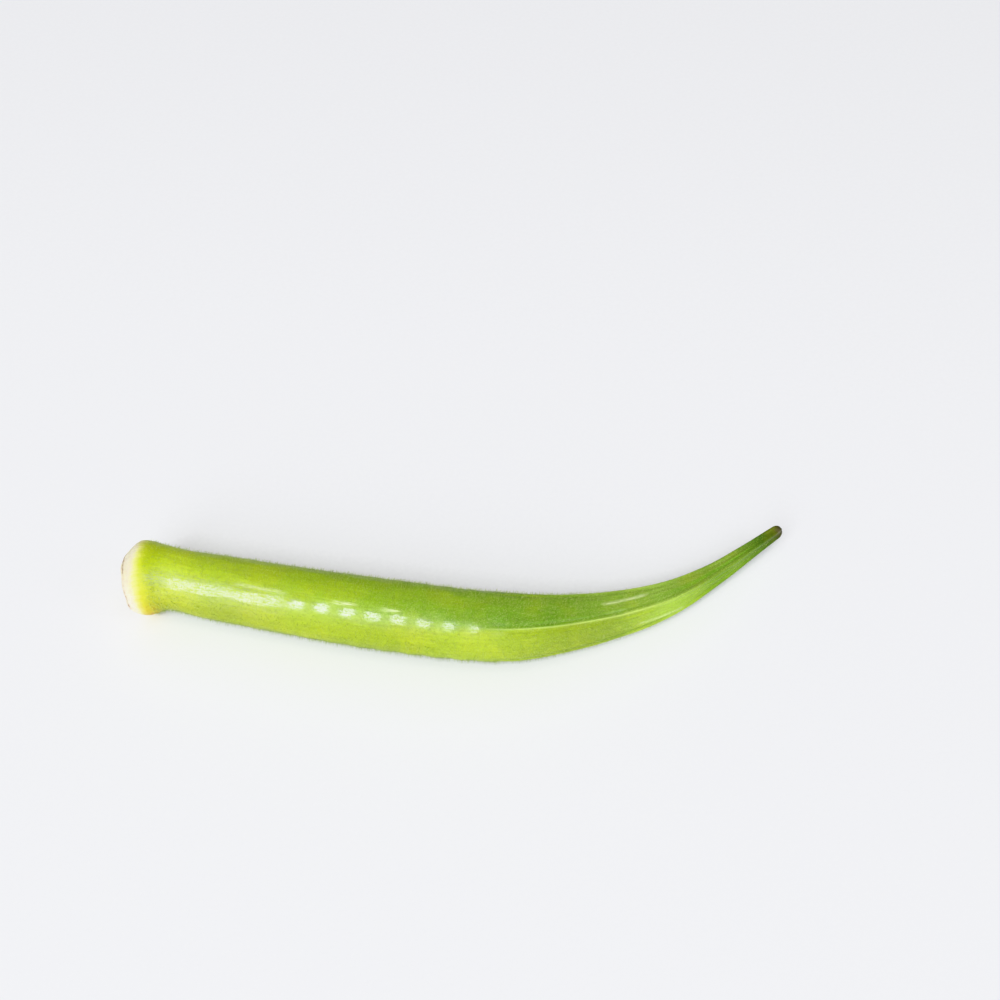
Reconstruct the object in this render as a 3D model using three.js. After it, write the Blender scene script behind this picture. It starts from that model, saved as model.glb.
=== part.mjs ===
// A whole okra pod lying on its side, grown as one piece.
// Millimetres, +Z up. The cut stem end is at -X, the point at +X, the floor at Z = 0.
import * as THREE from 'three';

// Axis of the fruit, from the stem's cut face to the point:
// along X, sideways along Y, and the height above the floor.
const AXIS = [
  { x: 0, side: 16.2, up: 8.9 },
  { x: 8, side: 16.3, up: 8.6 },
  { x: 20, side: 12.7, up: 7.85 },
  { x: 40, side: 5.7, up: 8.1 },
  { x: 65, side: -2.3, up: 8.4 },
  { x: 90, side: -8.2, up: 8.15 },
  { x: 110, side: -6.9, up: 6.4 },
  { x: 130, side: -1.8, up: 4.9 },
  { x: 145, side: 5.7, up: 4.65 },
  { x: 164, side: 17.6, up: 6.0 },
];

// Radius of the body along X, from the collar round the stem scar to the point.
const BODY = [
  { x: 3.4, radius: 9.15 },
  { x: 4.6, radius: 9.35 },
  { x: 6.3, radius: 8.95 },
  { x: 8.2, radius: 8.15 },
  { x: 10, radius: 7.75 },
  { x: 13, radius: 7.6 },
  { x: 20, radius: 8.05 },
  { x: 36, radius: 8.3 },
  { x: 60, radius: 8.65 },
  { x: 84, radius: 8.55 },
  { x: 94, radius: 8.2 },
  { x: 104, radius: 7.15 },
  { x: 116, radius: 5.8 },
  { x: 130, radius: 4.3 },
  { x: 144, radius: 2.75 },
  { x: 156, radius: 1.85 },
  { x: 163, radius: 1.5 },
];

// The collar runs out gently over the top of the neck and ends sharply below.
const NECK_FILL = 0.45;
const NECK_FILL_X = 9;
const NECK_FILL_LENGTH = 3.2;
const NECK_FILL_DEG = 100;

// Five ribs run along the fruit. The depth is their share of the radius.
const RIB_COUNT = 5;
const FIRST_RIB_DEG = 46;
const RIB_SHARPNESS = 1.6;
const RIB_MEAN = 0.44;
const RIBBING = [
  { x: 0, depth: 0.006 },
  { x: 14, depth: 0.014 },
  { x: 85, depth: 0.016 },
  { x: 100, depth: 0.045 },
  { x: 120, depth: 0.1 },
  { x: 140, depth: 0.17 },
  { x: 160, depth: 0.2 },
];

// A thin cord stands on each rib, with a shallow furrow on both sides of it.
const CORD_HALF_WIDTH = 0.32;
const FURROW_PLACE = 0.8;
const FURROW_SHARE = 0.5;
const CORD = [
  { x: 6, height: 0 },
  { x: 80, height: 0 },
  { x: 86, height: 0.03 },
  { x: 93, height: 0.2 },
  { x: 135, height: 0.24 },
  { x: 160, height: 0.14 },
];

// The seeds inside raise a row of soft bumps along each rib.
const SEED_PITCH = 6.06;
const SEED_SPREAD_DEG = 19;
const SEED_PHASE = 6.5;
const SEED_STAGGER = 0.38;
const SEED_BUMPS = [
  { x: 20, rise: 0 },
  { x: 38, rise: 0.1 },
  { x: 54, rise: 0.17 },
  { x: 68, rise: 0.25 },
  { x: 84, rise: 0.22 },
  { x: 98, rise: 0 },
];

// Cut stem end: depth behind the face's plane and radius, from the pith to the collar's edge.
const PITH_DEPTH = 0.55;
const STEM_END = [
  { depth: 0.5, radius: 2.2 },
  { depth: 0.3, radius: 4 },
  { depth: 0.42, radius: 4.7 },
  { depth: 0.14, radius: 6 },
  { depth: 0, radius: 6.6 },
  { depth: 0.3, radius: 7.05 },
  { depth: 1.1, radius: 7.75 },
  { depth: 2.2, radius: 8.55 },
];

// The cut is a little askew: where its plane's inward direction points.
const CUT_INWARD = new THREE.Vector3(0.974, -0.12, 0.19).normalize();
const CUT_SQUARE_UNTIL = 4;
const CUT_TURNED_BY = 17;

// The cut also sits a little off the middle of the collar, towards its low front side.
const CUT_SHIFT = 0.8;
const CUT_SHIFT_DEG = -43;
const CUT_SHIFT_GONE = 5;

// The blunt point.
const POINT_START = 163;
const POINT_LENGTH = 2.1;
const POINT_STEPS = [0.35, 0.62, 0.84, 0.96];

// Rings of the mesh: their spacing along X, and the vertex angles from each rib.
const NECK_END = 13;
const NECK_STEP = 0.8;
const BODY_STEP = 1.75;
const RING_OFFSETS_DEG = [-24, -12, -5, 0, 5, 12, 24, 36];

const SKIN_COLOUR = 0xa4c13c;
const SKIN_ROUGHNESS = 0.55;

const UP = new THREE.Vector3(0, 0, 1);

// Smooth curve through named values: a cubic between each pair, with slopes from the neighbours.
function along(rows, key, x) {
  const last = rows.length - 1;
  if (x <= rows[0].x) return rows[0][key];
  if (x >= rows[last].x && key !== 'side' && key !== 'up') return rows[last][key];
  const slope = (i) => {
    const a = rows[Math.max(0, i - 1)];
    const b = rows[Math.min(last, i + 1)];
    return (b[key] - a[key]) / (b.x - a.x);
  };
  if (x >= rows[last].x) return rows[last][key] + slope(last) * (x - rows[last].x);
  let i = 0;
  while (rows[i + 1].x < x) i += 1;
  const span = rows[i + 1].x - rows[i].x;
  const t = (x - rows[i].x) / span;
  const rise = (3 - 2 * t) * t * t;
  const lead = t * (1 - t) * (1 - t) * slope(i) * span;
  const trail = t * t * (1 - t) * slope(i + 1) * span;
  return rows[i][key] * (1 - rise) + rows[i + 1][key] * rise + lead - trail;
}

function centre(x) {
  return new THREE.Vector3(x, along(AXIS, 'side', x), along(AXIS, 'up', x));
}

// Direction of the axis. Near the stem it turns into the direction of the askew cut.
function heading(x) {
  const reach = 1;
  const tangent = centre(x + reach).sub(centre(Math.max(0, x - reach))).normalize();
  const turned = THREE.MathUtils.smoothstep(x, CUT_SQUARE_UNTIL, CUT_TURNED_BY);
  return CUT_INWARD.clone().lerp(tangent, turned).normalize();
}

// Signed angle from the nearest rib, in degrees.
function fromRib(angle) {
  const pitch = 360 / RIB_COUNT;
  const steps = (angle - FIRST_RIB_DEG) / pitch;
  return (steps - Math.round(steps)) * pitch;
}

function bell(value) {
  return Math.exp(-value * value);
}

function seedRise(x, angle) {
  const rib = Math.round((angle - FIRST_RIB_DEG) / (360 / RIB_COUNT));
  const turns = (x - SEED_PHASE) / SEED_PITCH + SEED_STAGGER * rib;
  const wave = 0.5 + 0.5 * Math.cos(turns * 2 * Math.PI);
  return along(SEED_BUMPS, 'rise', x) * wave * bell(fromRib(angle) / SEED_SPREAD_DEG);
}

function neckFill(x, angle) {
  const over = 0.5 + 0.5 * Math.cos(THREE.MathUtils.degToRad(angle - NECK_FILL_DEG));
  return NECK_FILL * over * bell((x - NECK_FILL_X) / NECK_FILL_LENGTH);
}

// Radius of the skin at one angle of the section at x.
function skinRadius(x, radius, angle) {
  const offRib = fromRib(angle);
  const rib = Math.pow(0.5 + 0.5 * Math.cos(THREE.MathUtils.degToRad(offRib * RIB_COUNT)), RIB_SHARPNESS);
  const ribbed = radius * (1 + along(RIBBING, 'depth', x) * (rib - RIB_MEAN));
  const offCord = Math.abs(THREE.MathUtils.degToRad(offRib)) * radius;
  const furrow = FURROW_SHARE * bell((offCord - FURROW_PLACE) / CORD_HALF_WIDTH);
  const cord = bell(offCord / CORD_HALF_WIDTH) - furrow;
  return ribbed + along(CORD, 'height', x) * cord + seedRise(x, angle) + neckFill(x, angle);
}

// One ring of vertices. Angles start at the -Y side and turn up over the top.
function ring(x, radius, ribbed) {
  const middle = centre(x);
  const forward = heading(x);
  const front = forward.clone().cross(UP).normalize();
  const top = front.clone().cross(forward);
  const shift = CUT_SHIFT * (1 - THREE.MathUtils.smoothstep(x, 0, CUT_SHIFT_GONE));
  const shiftTurn = THREE.MathUtils.degToRad(CUT_SHIFT_DEG);
  middle.addScaledVector(front, shift * Math.cos(shiftTurn));
  middle.addScaledVector(top, shift * Math.sin(shiftTurn));
  const points = [];
  for (let rib = 0; rib < RIB_COUNT; rib += 1) {
    for (const offset of RING_OFFSETS_DEG) {
      const angle = FIRST_RIB_DEG + rib * 360 / RIB_COUNT + offset;
      const reach = ribbed ? skinRadius(x, radius, angle) : radius;
      const turn = THREE.MathUtils.degToRad(angle);
      const point = middle.clone();
      point.addScaledVector(front, reach * Math.cos(turn));
      point.addScaledVector(top, reach * Math.sin(turn));
      points.push(point);
    }
  }
  return points;
}

function rings() {
  const list = STEM_END.map((row) => ring(row.depth, row.radius, false));
  const neckSteps = Math.round((NECK_END - BODY[0].x) / NECK_STEP);
  for (let i = 0; i < neckSteps; i += 1) {
    const x = THREE.MathUtils.lerp(BODY[0].x, NECK_END, i / neckSteps);
    list.push(ring(x, along(BODY, 'radius', x), true));
  }
  const bodySteps = Math.round((POINT_START - NECK_END) / BODY_STEP);
  for (let i = 0; i <= bodySteps; i += 1) {
    const x = THREE.MathUtils.lerp(NECK_END, POINT_START, i / bodySteps);
    list.push(ring(x, along(BODY, 'radius', x), true));
  }
  const pointRadius = along(BODY, 'radius', POINT_START);
  for (const step of POINT_STEPS) {
    const shrunk = pointRadius * Math.sqrt(1 - step * step);
    list.push(ring(POINT_START + POINT_LENGTH * step, shrunk, true));
  }
  return list;
}

// Skin of the whole fruit: rings joined by triangles and closed by a fan at each end.
function podGeometry() {
  const list = rings();
  const sides = list[0].length;
  const points = list.flat();
  const faces = [];
  for (let r = 0; r < list.length - 1; r += 1) {
    for (let s = 0; s < sides; s += 1) {
      const next = (s + 1) % sides;
      const a = r * sides + s;
      const b = r * sides + next;
      const c = a + sides;
      const d = b + sides;
      faces.push(a, c, b, b, c, d);
    }
  }
  const pith = points.length;
  points.push(centre(PITH_DEPTH));
  const point = points.length;
  points.push(centre(POINT_START + POINT_LENGTH));
  const lastRing = (list.length - 1) * sides;
  for (let s = 0; s < sides; s += 1) {
    const next = (s + 1) % sides;
    faces.push(pith, s, next);
    faces.push(point, lastRing + next, lastRing + s);
  }
  // Where the fruit meets the floor its skin is pressed flat.
  for (const p of points) p.z = Math.max(p.z, 0);
  const geometry = new THREE.BufferGeometry().setFromPoints(points);
  geometry.setIndex(faces);
  geometry.computeBoundingBox();
  const middle = geometry.boundingBox.getCenter(new THREE.Vector3());
  geometry.translate(-middle.x, -middle.y, 0);
  geometry.computeVertexNormals();
  return geometry;
}

const skin = new THREE.MeshStandardMaterial({
  color: SKIN_COLOUR,
  roughness: SKIN_ROUGHNESS,
  metalness: 0,
});
skin.name = 'okra_skin';

const pod = new THREE.Mesh(podGeometry(), skin);
pod.name = 'okra_pod';

const group = new THREE.Group();
group.name = 'okra';
group.add(pod);

export default group;
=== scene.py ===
"""A fresh okra pod lying on a pale floor. Metres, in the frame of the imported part."""

import math

import bmesh
import bpy
import numpy as np
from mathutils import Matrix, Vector


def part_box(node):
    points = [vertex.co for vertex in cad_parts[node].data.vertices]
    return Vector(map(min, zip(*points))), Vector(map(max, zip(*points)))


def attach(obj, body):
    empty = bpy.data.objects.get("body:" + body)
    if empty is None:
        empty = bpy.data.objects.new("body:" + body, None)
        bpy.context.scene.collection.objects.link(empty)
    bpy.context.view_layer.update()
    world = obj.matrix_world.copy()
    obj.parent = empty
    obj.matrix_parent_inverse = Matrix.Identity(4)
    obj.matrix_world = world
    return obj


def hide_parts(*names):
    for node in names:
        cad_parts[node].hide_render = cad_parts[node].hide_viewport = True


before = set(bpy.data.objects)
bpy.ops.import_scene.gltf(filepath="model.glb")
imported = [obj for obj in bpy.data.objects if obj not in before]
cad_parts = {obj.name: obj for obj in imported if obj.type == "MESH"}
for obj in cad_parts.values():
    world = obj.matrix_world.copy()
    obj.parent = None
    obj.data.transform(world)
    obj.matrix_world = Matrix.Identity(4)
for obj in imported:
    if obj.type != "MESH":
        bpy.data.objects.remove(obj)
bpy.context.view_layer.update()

MM = 0.001

# ---------------------------------------------------------------- form of the pod, in millimetres

# Axis of the fruit, from the stem's cut face to the point: x, sideways, height above the floor.
AXIS = (
    (0, 16.2, 8.9),
    (8, 16.3, 8.6),
    (20, 12.7, 7.85),
    (40, 5.7, 8.1),
    (65, -2.3, 8.4),
    (90, -8.2, 8.15),
    (110, -6.9, 6.4),
    (130, -1.8, 4.9),
    (145, 5.7, 4.65),
    (164, 17.6, 6.0),
)

# Radius of the body along x, from the collar to the point.
BODY = (
    (3.4, 9.15),
    (4.6, 9.35),
    (6.3, 8.95),
    (8.2, 8.15),
    (10, 7.75),
    (13, 7.6),
    (20, 8.05),
    (36, 8.3),
    (60, 8.65),
    (84, 8.55),
    (94, 8.2),
    (104, 7.15),
    (116, 5.8),
    (130, 4.3),
    (144, 2.75),
    (156, 1.85),
    (163, 1.5),
)

# Cut stem end: radius and depth behind the face's plane, from the pith to the collar's edge.
CUT_FACE = (
    (0, 0.55),
    (2.2, 0.5),
    (4, 0.3),
    (4.7, 0.42),
    (6, 0.14),
    (6.6, 0),
)
SCAR_BAND = (
    (0, 6.6),
    (0.3, 7.05),
    (1.1, 7.75),
    (2.2, 8.55),
    (3.4, 9.15),
)
CUT_INWARD = (0.974, -0.12, 0.19)
CUT_SQUARE_UNTIL = 4
CUT_TURNED_BY = 17
CUT_SHIFT = 0.8
CUT_SHIFT_DEG = -43
CUT_SHIFT_GONE = 5

RIB_COUNT = 5
RIB_PITCH = 360 / RIB_COUNT
FIRST_RIB_DEG = 46
RIB_SHARPNESS = 1.6
RIB_MEAN = 0.44
RIB_DEPTH = (
    (0, 0.006),
    (14, 0.014),
    (85, 0.016),
    (100, 0.045),
    (120, 0.1),
    (140, 0.17),
    (160, 0.2),
)

CORD_HALF_WIDTH = 0.32
FURROW_PLACE = 0.8
FURROW_SHARE = 0.5
CORD_FULL = 0.24
CORD_HEIGHT = (
    (6, 0),
    (80, 0),
    (86, 0.03),
    (93, 0.2),
    (135, CORD_FULL),
    (160, 0.14),
)

# The collar runs out gently over the top of the neck and ends sharply below.
NECK_FILL = 0.45
NECK_FILL_X = 9
NECK_FILL_LENGTH = 3.2
NECK_FILL_DEG = 100

SEED_PITCH = 6.06
SEED_SPREAD_DEG = 19
SEED_RISE = (
    (20, 0),
    (38, 0.1),
    (54, 0.17),
    (68, 0.25),
    (84, 0.22),
    (98, 0),
)
SEED_PHASE = 6.5
SEED_STAGGER = 0.38

POINT_START = 163
POINT_LENGTH = 2.1

# Small unevenness of living skin: the sum of long low waves that run every way.
UNEVEN_WAVES = 40
UNEVEN_HEIGHT = 0.007
UNEVEN_TURNS = 18
UNEVEN_PER_MM = 0.09
UNEVEN_SEED = 21
UNEVEN_FROM = (6, 18)
UNEVEN_UNTIL = (146, 162)

# The knife's cut is not quite round or level: low waves round it, fading towards the pith.
CUT_WAVES = 14
CUT_TURNS = 9
CUT_PER_MM = 0.28
CUT_LEVEL_HEIGHT = 0.035
CUT_ROUND_SHARE = 0.0035
CUT_SEED = 4

# The skin's mesh: rings round the fruit, crowded at the ribs, with the seam along the lowest rib.
SIDES = 190
CROWDING = 0.55
CUT_RINGS = 18
SCAR_RINGS = 16
NECK_END = 14
NECK_RINGS = 36
BODY_RINGS = 408
POINT_RINGS = 14
SEAM_DEG = FIRST_RIB_DEG - 2 * RIB_PITCH

# Length that the skin's pattern map stands for, from the pith to the point.
MAP_LENGTH = 200

# Step along the axis, each way, that its direction is taken over.
AXIS_STEP = 1


def curve(rows, column, x):
    """A smooth curve through rows of named values, with slopes from the neighbours."""
    table = np.array(rows, float)
    at, value = table[:, 0], table[:, column]
    before = np.maximum(np.arange(len(at)) - 1, 0)
    after = np.minimum(np.arange(len(at)) + 1, len(at) - 1)
    slope = (value[after] - value[before]) / (at[after] - at[before])
    x = np.asarray(x, float)
    i = np.clip(np.searchsorted(at, x) - 1, 0, len(at) - 2)
    span = at[i + 1] - at[i]
    t = np.clip((x - at[i]) / span, 0, 1)
    rise = (3 - 2 * t) * t * t
    lead = t * (1 - t) ** 2 * slope[i] * span
    trail = t * t * (1 - t) * slope[i + 1] * span
    beyond = np.maximum(x - at[-1], 0) * slope[-1]
    return value[i] * (1 - rise) + value[i + 1] * rise + lead - trail + beyond


def level(rows, x):
    """A curve that stays at its last value past its end."""
    return curve(rows, 1, np.minimum(x, rows[-1][0]))


def smoothstep(x, start, end):
    t = np.clip((x - start) / (end - start), 0, 1)
    return t * t * (3 - 2 * t)


def between(x, start, end):
    """A share that rises over the start range and falls over the end range."""
    return smoothstep(x, *start) * (1 - smoothstep(x, *end))


def bell(value):
    return np.exp(-value * value)


def unit(vectors):
    return vectors / np.linalg.norm(vectors, axis=-1, keepdims=True)


def centre(x):
    return np.stack([np.asarray(x, float), curve(AXIS, 1, x), curve(AXIS, 2, x)], axis=-1)


def heading(x):
    """Direction of the axis, which turns near the stem into that of the askew cut."""
    tangent = unit(centre(x + AXIS_STEP) - centre(np.maximum(x - AXIS_STEP, 0)))
    turned = smoothstep(x, CUT_SQUARE_UNTIL, CUT_TURNED_BY)[..., None]
    return unit(unit(np.array(CUT_INWARD)) * (1 - turned) + tangent * turned)


def from_rib(angle):
    """Signed angle from the nearest rib, in degrees."""
    steps = (angle - FIRST_RIB_DEG) / RIB_PITCH
    return (steps - np.round(steps)) * RIB_PITCH


def seed_wave(x, angle):
    """1 over the middle of each seed under the ribs, 0 between the seeds."""
    rib = np.round((angle - FIRST_RIB_DEG) / RIB_PITCH)
    turns = (x - SEED_PHASE) / SEED_PITCH + SEED_STAGGER * rib
    return 0.5 + 0.5 * np.cos(turns * 2 * np.pi)


def seed_rise(x, angle):
    return level(SEED_RISE, x) * seed_wave(x, angle) * bell(from_rib(angle) / SEED_SPREAD_DEG)


def neck_fill(x, angle):
    over = 0.5 + 0.5 * np.cos(np.radians(angle - NECK_FILL_DEG))
    return NECK_FILL * over * bell((x - NECK_FILL_X) / NECK_FILL_LENGTH)


def random_waves(along, angle, count, most_turns, most_per_mm, seed):
    """The sum of many waves, each with its own whole turns round and its own length along."""
    rng = np.random.default_rng(seed)
    total = along * 0 + angle * 0.0
    for _ in range(count):
        turns = rng.integers(-most_turns, most_turns + 1)
        per_mm = rng.uniform(0, most_per_mm)
        phase = rng.uniform(0, 2 * np.pi)
        total = total + np.cos(turns * np.radians(angle) + per_mm * 2 * np.pi * along + phase)
    return total


def uneven(x, angle):
    """Height of the skin's small unevenness."""
    total = random_waves(x, angle, UNEVEN_WAVES, UNEVEN_TURNS, UNEVEN_PER_MM, UNEVEN_SEED)
    return UNEVEN_HEIGHT * between(x, UNEVEN_FROM, UNEVEN_UNTIL) * total


def cut_waves(radius, angle, seed):
    """Low waves over the cut face, still at the pith and at the collar's edge."""
    total = random_waves(radius, angle, CUT_WAVES, CUT_TURNS, CUT_PER_MM, seed)
    rim, edge = CUT_FACE[-1][0], SCAR_BAND[-1][1]
    return total * smoothstep(radius, 0, rim) * (1 - smoothstep(radius, rim, edge))


def skin_radius(x, radius, angle):
    """Radius of the ribbed skin at an angle of the section at x."""
    off_rib = from_rib(angle)
    rib = (0.5 + 0.5 * np.cos(np.radians(off_rib * RIB_COUNT))) ** RIB_SHARPNESS
    ribbed = radius * (1 + level(RIB_DEPTH, x) * (rib - RIB_MEAN))
    off_cord = np.abs(np.radians(off_rib)) * radius
    furrow = bell((off_cord - FURROW_PLACE) / CORD_HALF_WIDTH)
    cord = bell(off_cord / CORD_HALF_WIDTH) - FURROW_SHARE * furrow
    relief = level(CORD_HEIGHT, x) * cord + seed_rise(x, angle) + neck_fill(x, angle)
    return ribbed + relief + uneven(x, angle)


def on_section(x, reach, angle):
    """Points at a reach and an angle of the sections at x. Angles start at -Y and turn up."""
    forward = heading(x)
    front = unit(np.cross(forward, (0, 0, 1)))
    top = np.cross(front, forward)
    shift = CUT_SHIFT * (1 - smoothstep(x, 0, CUT_SHIFT_GONE))
    turn, shift_turn = np.radians(angle), math.radians(CUT_SHIFT_DEG)
    across = reach * np.cos(turn) + shift * math.cos(shift_turn)
    upward = reach * np.sin(turn) + shift * math.sin(shift_turn)
    return centre(x) + front * across[..., None] + top * upward[..., None]


def stations():
    """x, radius and whether it is skin, for each ring of the mesh from the pith to the point."""
    face_radius = np.linspace(0, CUT_FACE[-1][0], CUT_RINGS, endpoint=False)
    face = np.stack([curve(CUT_FACE, 1, face_radius), face_radius, face_radius * 0], axis=-1)
    scar_x = np.linspace(0, SCAR_BAND[-1][0], SCAR_RINGS, endpoint=False)
    scar = np.stack([scar_x, curve(SCAR_BAND, 1, scar_x), scar_x * 0], axis=-1)
    neck_x = np.linspace(BODY[0][0], NECK_END, NECK_RINGS, endpoint=False)
    body_x = np.linspace(NECK_END, POINT_START, BODY_RINGS, endpoint=False)
    skin_x = np.concatenate([neck_x, body_x])
    skin = np.stack([skin_x, curve(BODY, 1, skin_x), skin_x * 0 + 1], axis=-1)
    turn = np.linspace(0, np.pi / 2, POINT_RINGS)
    point_x = POINT_START + POINT_LENGTH * np.sin(turn)
    point = np.stack([point_x, BODY[-1][1] * np.cos(turn), point_x * 0 + 1], axis=-1)
    return np.concatenate([face, scar, skin, point])


def ring_grid():
    """Angle round the fruit and place along it for every corner of the skin's grid."""
    rows = stations()
    even = SEAM_DEG + np.linspace(0, 360, SIDES + 1)
    bend = np.sin(np.radians((even - FIRST_RIB_DEG) * RIB_COUNT))
    angle = even - np.degrees(CROWDING / RIB_COUNT * bend)
    return rows, angle


def skin_points(rows, angle):
    """The skin's points, one row a station, in the form's own millimetres."""
    x, radius, ribbed = (rows[:, i][:, None] for i in range(3))
    x, radius, angle = np.broadcast_arrays(x, radius, angle[None, :])
    cut_radius = radius * (1 + CUT_ROUND_SHARE * cut_waves(radius, angle, CUT_SEED + 1))
    reach = np.where(ribbed > 0, skin_radius(x, radius, angle), cut_radius)
    depth = x + np.where(ribbed > 0, 0, CUT_LEVEL_HEIGHT * cut_waves(radius, angle, CUT_SEED))
    return on_section(depth, reach, angle)


# Colour edge between the greener upper side and the paler lower one, partly the pod's own colour
# and partly painted light and shade: its angle, and how far it spreads to each side. It is soft on
# the body and sharp where the rib stands out.
SIDE_EDGE_DEG = (
    (10, 36),
    (70, 40),
    (92, FIRST_RIB_DEG),
)
SIDE_SPREAD_DEG = (
    (10, 40),
    (34, 34),
    (70, 18),
    (84, 9),
    (95, 2.5),
)
BACK_EDGE_DEG = (190, 240)

# A deeper green stripe beside each rib along the point, where the ribs' pale lines end.
STRIPE_OFF_RIB_DEG = 24
STRIPE_SPREAD_DEG = 11
STRIPE_FROM = (124, 142)
STRIPE_UNTIL = (151, 159)
# Where the painted highlights on the cords and the painted shade in the furrows end, and the share
# of the cords' painted highlight along the fruit.
RIB_LINE_UNTIL = (122, 144)
CORD_HIGHLIGHT_SHARE = (
    (100, 0.3),
    (128, 1),
)

# A painted highlight on the front rib's crest: a thin pale line between the two sides.
CREST_HIGHLIGHT_HALF_WIDTH = 0.17
CREST_HIGHLIGHT_FROM = (84, 95)
CREST_HIGHLIGHT_UNTIL = (120, 134)

# Painted shade: a deeper green above the front rib, at mid-length, and a darker underside.
SHADE_OFF_RIB_DEG = 8
SHADE_SPREAD_DEG = 30
SHADE_FROM = (58, 92)
SHADE_UNTIL = (98, 122)
# Painted shade on the underside: its middle angle and the reach over which it fades.
UNDER_DEG = -90
UNDER_REACH_DEG = (43, 73)

# Painted highlight colour on the front rib, as far as the seeds show.
HIGHLIGHT_TINT_SPREAD_DEG = 15
HIGHLIGHT_TINT_UNTIL = (80, 90)
HIGHLIGHT_TINT_MOST = 0.7

# A warm tint low on the collar.
BLUSH_X = 5.2
BLUSH_LENGTH = 2.4
BLUSH_DEG = -36
BLUSH_SPREAD_DEG = 30

# The pale rim of the cut runs further down the collar at the top, in millimetres.
CREAM_REACH = 1.9
CREAM_DEG = 112
CREAM_SPREAD_DEG = 42
CREAM_GONE = (3, 10)

# Where the skin is taut it shines: all over near the stem, then only over the seeds.
TAUT_NECK = 0.6
TAUT_SEEDS = (
    (45, 0.85),
    (60, 0.76),
    (72, 0.52),
    (86, 0.38),
)
TAUT_ALL_UNTIL = (33, 45)
TAUT_SEEDS_UNTIL = (82, 92)
TAUT_SPREAD_DEG = 7.5
TAUT_WAVE = (0.01, 0.72)
TAUT_POINT = 0.14
TAUT_FROM = (4, 8)
TAUT_TOP_DEG = (85, 125)
TAUT_FOOT_DEG = (-8, 22)
TAUT_LOSS = 0.8

# Painted highlights, pale streaks on the skin: where each starts and ends, its angle at both, and
# its strength.
HIGHLIGHT_STREAKS = (
    (27, 41, 62.5, 61.5, 0.5),
    (50.3, 57.8, 58.5, 59, 0.8),
    (61.8, 68.4, 58.5, 58, 0.7),
    (114, 128, 81.5, 90, 0.75),
    (122, 136, 1.5, -15, 0.45),
)
HIGHLIGHT_STREAK_HALF_WIDTH = 0.36
HIGHLIGHT_STREAK_END = 2.5

# The dried scar on the blunt point.
DRY_X = 163.7
DRY_LENGTH = 0.6
DRY_DEG = 60
DRY_SPREAD_DEG = 32


def taut_share(x, angle):
    """Share of the skin's shine at a place."""
    seeds = seed_wave(x, angle) * bell(from_rib(angle) / TAUT_SPREAD_DEG)
    seeds = smoothstep(seeds, *TAUT_WAVE) * level(TAUT_SEEDS, x)
    share = TAUT_NECK + (seeds - TAUT_NECK) * smoothstep(x, *TAUT_ALL_UNTIL)
    share = share + (TAUT_POINT - share) * smoothstep(x, *TAUT_SEEDS_UNTIL)
    faced = between(angle, TAUT_FOOT_DEG, TAUT_TOP_DEG)
    return share * (1 - TAUT_LOSS * (1 - faced)) * smoothstep(x, *TAUT_FROM)


def highlight_streak_share(x, angle, radius):
    """The painted highlight streaks, fading at both ends."""
    total = x * angle * 0.0
    for start, end, first, last, strength in HIGHLIGHT_STREAKS:
        middle = first + (last - first) * np.clip((x - start) / (end - start), 0, 1)
        off = np.radians(angle - middle) * radius
        ends = between(x, (start, start + HIGHLIGHT_STREAK_END), (end - HIGHLIGHT_STREAK_END, end))
        total = total + strength * ends * bell(off / HIGHLIGHT_STREAK_HALF_WIDTH)
    return total


def turn_from(angle, middle):
    """Signed angle from the middle of a mark, in degrees."""
    return (angle - middle + 180) % 360 - 180


def side_marks(x, angle):
    """Shares of the greener upper side, its deeper green stripes, and the painted shade above the
    front rib and on the underside.
    """
    edge, spread = level(SIDE_EDGE_DEG, x), level(SIDE_SPREAD_DEG, x)
    upper = smoothstep(angle, edge - spread, edge + spread)
    upper = upper * (1 - smoothstep(angle, *BACK_EDGE_DEG))
    off_stripe = from_rib(angle) - STRIPE_OFF_RIB_DEG
    striped = between(x, STRIPE_FROM, STRIPE_UNTIL)
    above = turn_from(angle, FIRST_RIB_DEG + SHADE_OFF_RIB_DEG)
    from_under = np.abs(turn_from(angle, UNDER_DEG))
    return {
        "upper": upper,
        "stripe": bell(off_stripe / STRIPE_SPREAD_DEG) * striped * upper,
        # Painted shade above the front rib.
        "painted_shade": bell(above / SHADE_SPREAD_DEG) * between(x, SHADE_FROM, SHADE_UNTIL) * upper,
        # Painted shade on the underside.
        "under": (1 - smoothstep(from_under, *UNDER_REACH_DEG)) * smoothstep(x, *CREAM_GONE),
    }


def rib_marks(x, radius, angle, ribbed):
    """Shares of the painted highlights on the ribs' cords and the front rib's crest, the painted
    shade in the furrows beside them, and the painted highlight colour on the front rib.
    """
    from_front = turn_from(angle, FIRST_RIB_DEG)
    off_cord = np.radians(from_rib(angle)) * radius
    off_crest = np.radians(from_front) * radius
    stands = np.clip(level(CORD_HEIGHT, x) / CORD_FULL, 0, 1) * ribbed
    stands = stands * (1 - smoothstep(x, *RIB_LINE_UNTIL))
    crest_highlighted = between(x, CREST_HIGHLIGHT_FROM, CREST_HIGHLIGHT_UNTIL)
    highlight_tinted = bell(from_front / HIGHLIGHT_TINT_SPREAD_DEG) * (1 - smoothstep(x, *HIGHLIGHT_TINT_UNTIL))
    return {
        # Painted highlight along the ribs' cords.
        "cord": bell(off_cord / CORD_HALF_WIDTH) * stands * level(CORD_HIGHLIGHT_SHARE, x),
        # Painted shade in the furrows beside the cords.
        "furrow": bell((off_cord - FURROW_PLACE) / CORD_HALF_WIDTH) * stands,
        # Painted highlight along the front rib's crest.
        "crest": bell(off_crest / CREST_HIGHLIGHT_HALF_WIDTH) * crest_highlighted * ribbed,
        "highlight_tint": HIGHLIGHT_TINT_MOST * highlight_tinted,
    }


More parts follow.
